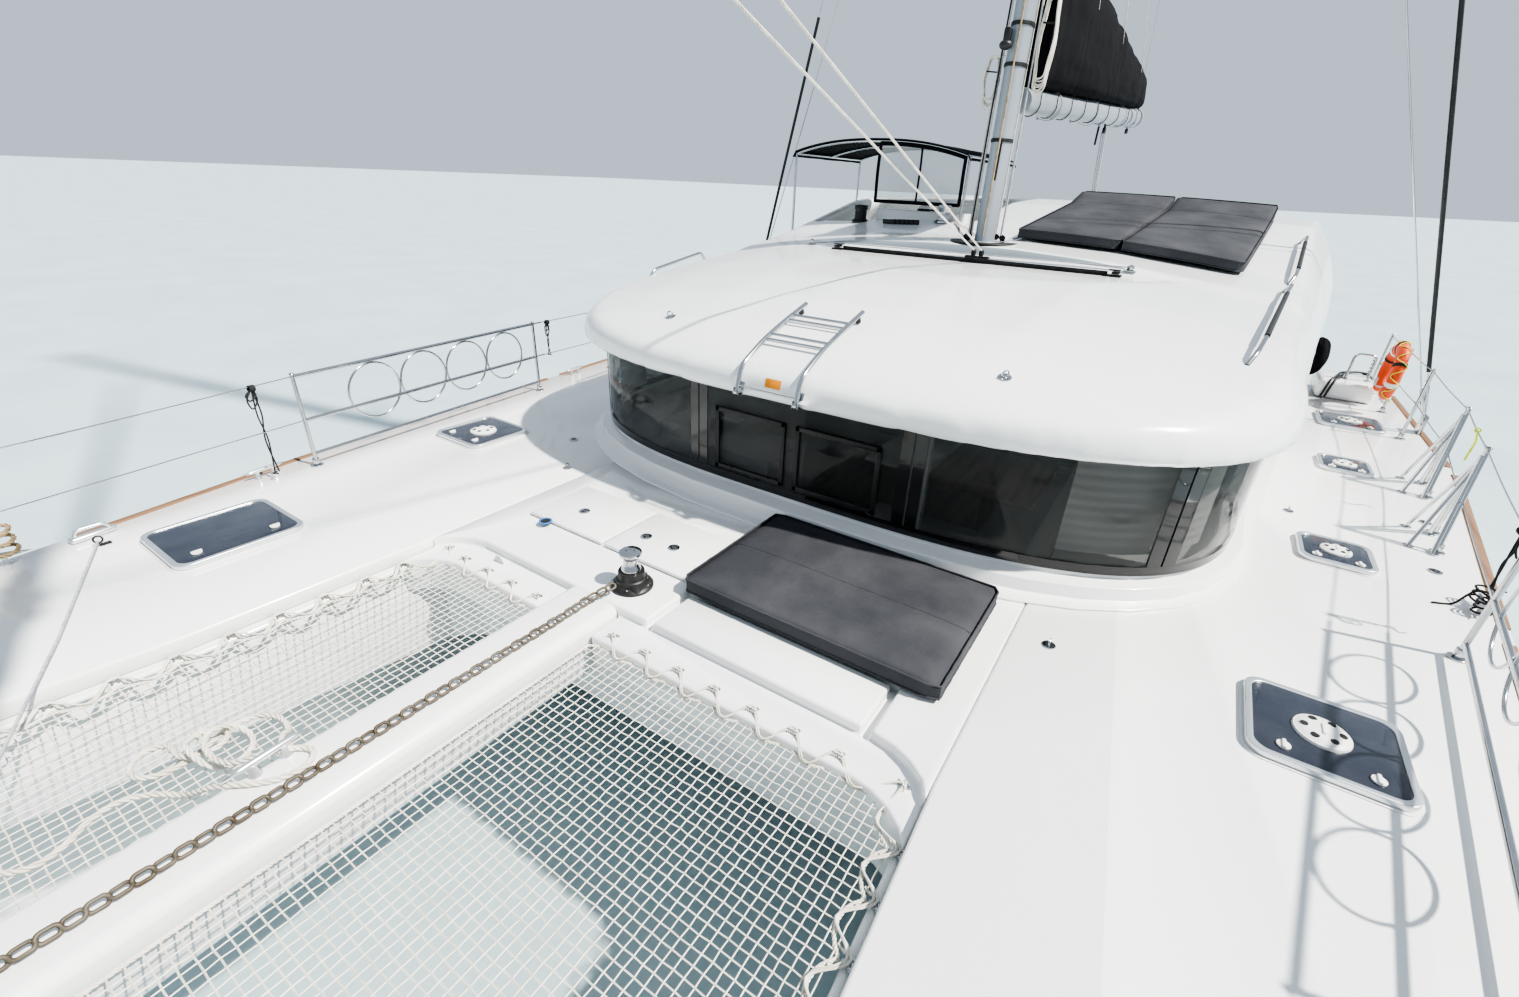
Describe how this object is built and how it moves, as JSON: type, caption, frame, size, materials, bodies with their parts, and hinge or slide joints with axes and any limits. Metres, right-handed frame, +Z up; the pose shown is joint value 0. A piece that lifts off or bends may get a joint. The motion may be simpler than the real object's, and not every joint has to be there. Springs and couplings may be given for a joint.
{
  "type": "sailing catamaran",
  "caption": "Cruising sailing catamaran with raised helm, sun pads on the coachroof, trampoline nets, furled jib and mainsail stowed in its boom bag.",
  "frame": {"origin": "amidships on the boat's middle line, in the plane of the water's surface she floats at when light", "axes": "+X forward to the bows, +Y to port, +Z up along the mast"},
  "size_m": [12.8, 7.7, 21.9008],
  "materials": {
    "gelcoat": "white gelcoat, glossy, with matt non-slip patches on the decks",
    "underwater_paint": "matt antifouling paint",
    "bronze": "cast and machined bronze",
    "smoked_acrylic": "smoked acrylic in a black frame",
    "glass": "dark tinted glass",
    "alloy": "anodised aluminium",
    "net": "woven cord netting",
    "stainless": "polished stainless steel",
    "chain": "galvanised steel, slightly rusty",
    "sailcloth": "white sailcloth with a pale strip",
    "canvas": "black acrylic canvas",
    "track": "black anodised",
    "upholstery": "dark grey upholstery with piping",
    "orange_cover": "orange coated fabric",
    "rope": "white three-strand polyester"
  },
  "bodies": {
    "boat": {"hull_port": "gelcoat", "hull_starboard": "gelcoat", "deck_port": "gelcoat", "deck_starboard": "gelcoat", "cabin_walls": "gelcoat", "bridgedeck": "gelcoat", "foredeck": "gelcoat", "centre_beam": "gelcoat", "coachroof": "gelcoat", "helm_station": "gelcoat", "keel_port": "underwater_paint", "keel_starboard": "underwater_paint", "drive_port": "underwater_paint", "drive_starboard": "underwater_paint", "glass_centre": "glass", "glass_port": "glass", "glass_starboard": "glass", "crossbeam": "alloy", "mast": "alloy", "net_port": "net", "net_starboard": "net", "windlass_base": "stainless", "anchor": "stainless", "shrouds_port": "stainless", "shrouds_starboard": "stainless", "awning_frame": "stainless", "rail_port": "stainless", "rail_starboard": "stainless", "chain": "chain", "furled_jib": "sailcloth", "awning": "canvas", "jib_track": "track", "sun_pad_inboard": "upholstery", "sun_pad_outboard": "upholstery", "foredeck_cushion": "upholstery", "lifebuoy": "orange_cover", "mooring_rope": "rope", "mooring_coil": "rope"},
    "boom": {"boom": "alloy", "sail_bag": "canvas"},
    "rudder_port": {"rudder_port": "underwater_paint"},
    "propeller_port": {"propeller_port": "bronze"},
    "hatch_bow_port": {"hatch_bow_port": "smoked_acrylic"},
    "hatch_fore_port": {"hatch_fore_port": "smoked_acrylic"},
    "hatch_mid_port": {"hatch_mid_port": "smoked_acrylic"},
    "hatch_side_port": {"hatch_side_port": "smoked_acrylic"},
    "hatch_aft_port": {"hatch_aft_port": "smoked_acrylic"},
    "rudder_starboard": {"rudder_starboard": "underwater_paint"},
    "propeller_starboard": {"propeller_starboard": "bronze"},
    "hatch_bow_starboard": {"hatch_bow_starboard": "smoked_acrylic"},
    "hatch_fore_starboard": {"hatch_fore_starboard": "smoked_acrylic"},
    "hatch_mid_starboard": {"hatch_mid_starboard": "smoked_acrylic"},
    "hatch_side_starboard": {"hatch_side_starboard": "smoked_acrylic"},
    "hatch_aft_starboard": {"hatch_aft_starboard": "smoked_acrylic"},
    "helm_wheel": {"helm_wheel": "stainless"},
    "windlass_drum": {"windlass_drum": "stainless"},
    "locker_lid_starboard": {"locker_lid_starboard": "gelcoat"},
    "locker_lid_centre": {"locker_lid_centre": "gelcoat"},
    "saloon_door": {"saloon_door": "glass"},
    "roof_ladder": {"roof_ladder": "stainless"}
  },
  "joints": [
    {"name": "boom_swing", "type": "hinge", "parent": "boat", "child": "boom", "pos_m": [-1.315, 0, 4.22], "axis": [0, 0, 1], "range_deg": [-54.5, 65.4]},
    {"name": "rudder_port_turn", "type": "hinge", "parent": "boat", "child": "rudder_port", "pos_m": [-5, 2.8255, -0.4], "axis": [0, 0, 1], "range_deg": [-35, 35]},
    {"name": "rudder_starboard_turn", "type": "hinge", "parent": "boat", "child": "rudder_starboard", "pos_m": [-5, -2.8255, -0.4], "axis": [0, 0, 1], "range_deg": [-35, 35]},
    {"name": "helm_turn", "type": "hinge", "parent": "boat", "child": "helm_wheel", "pos_m": [-2.52, -1.05, 2.96], "axis": [1, 0, 0], "range_deg": [-430, 430]},
    {"name": "windlass_turn", "type": "hinge", "parent": "boat", "child": "windlass_drum", "pos_m": [3.24, -0.24, 1.8], "axis": [0, 0, 1], "continuous": true},
    {"name": "door_slide", "type": "slide", "parent": "boat", "child": "saloon_door", "axis": [0, -1, 0], "range_m": [0, 1.2]},
    {"name": "ladder_swing", "type": "hinge", "parent": "boat", "child": "roof_ladder", "pos_m": [2.375, -0.04, 2.47], "axis": [0, 1, 0], "range_deg": [0, 208]},
    {"name": "propeller_port_spin", "type": "hinge", "parent": "boat", "child": "propeller_port", "pos_m": [-4.175, 2.8197, -0.84], "axis": [1, 0, 0], "continuous": true},
    {"name": "hatch_bow_port_lid", "type": "hinge", "parent": "boat", "child": "hatch_bow_port", "pos_m": [4.532, 2.36, 1.668], "axis": [0, 1, 0], "range_deg": [0, 100]},
    {"name": "hatch_fore_port_lid", "type": "hinge", "parent": "boat", "child": "hatch_fore_port", "pos_m": [2.672, 2.63, 1.668], "axis": [0, 1, 0], "range_deg": [0, 100]},
    {"name": "hatch_mid_port_lid", "type": "hinge", "parent": "boat", "child": "hatch_mid_port", "pos_m": [0.702, 2.845, 1.668], "axis": [0, 1, 0], "range_deg": [0, 100]},
    {"name": "hatch_side_port_lid", "type": "hinge", "parent": "boat", "child": "hatch_side_port", "pos_m": [-1.168, 3.08, 1.668], "axis": [0, 1, 0], "range_deg": [0, 100]},
    {"name": "hatch_aft_port_lid", "type": "hinge", "parent": "boat", "child": "hatch_aft_port", "pos_m": [-2.608, 3.27, 1.668], "axis": [0, 1, 0], "range_deg": [0, 100]},
    {"name": "propeller_starboard_spin", "type": "hinge", "parent": "boat", "child": "propeller_starboard", "pos_m": [-4.175, -2.8197, -0.84], "axis": [1, 0, 0], "continuous": true},
    {"name": "hatch_bow_starboard_lid", "type": "hinge", "parent": "boat", "child": "hatch_bow_starboard", "pos_m": [4.532, -2.36, 1.668], "axis": [0, 1, 0], "range_deg": [0, 100]},
    {"name": "hatch_fore_starboard_lid", "type": "hinge", "parent": "boat", "child": "hatch_fore_starboard", "pos_m": [2.672, -2.63, 1.668], "axis": [0, 1, 0], "range_deg": [0, 100]},
    {"name": "hatch_mid_starboard_lid", "type": "hinge", "parent": "boat", "child": "hatch_mid_starboard", "pos_m": [0.702, -2.845, 1.668], "axis": [0, 1, 0], "range_deg": [0, 100]},
    {"name": "hatch_side_starboard_lid", "type": "hinge", "parent": "boat", "child": "hatch_side_starboard", "pos_m": [-1.168, -3.08, 1.668], "axis": [0, 1, 0], "range_deg": [0, 100]},
    {"name": "hatch_aft_starboard_lid", "type": "hinge", "parent": "boat", "child": "hatch_aft_starboard", "pos_m": [-2.608, -3.27, 1.668], "axis": [0, 1, 0], "range_deg": [0, 100]},
    {"name": "locker_starboard_lid", "type": "hinge", "parent": "boat", "child": "locker_lid_starboard", "pos_m": [2.588, -0.95, 1.664], "axis": [0, 1, 0], "range_deg": [-95, 0]},
    {"name": "locker_centre_lid", "type": "hinge", "parent": "boat", "child": "locker_lid_centre", "pos_m": [2.588, -0.33, 1.664], "axis": [0, 1, 0], "range_deg": [-95, 0]}
  ],
  "couplings": [
    {"joint": "rudder_starboard_turn", "follows": "rudder_port_turn", "ratio": 1},
    {"joint": "helm_turn", "follows": "rudder_port_turn", "ratio": 12}
  ]
}
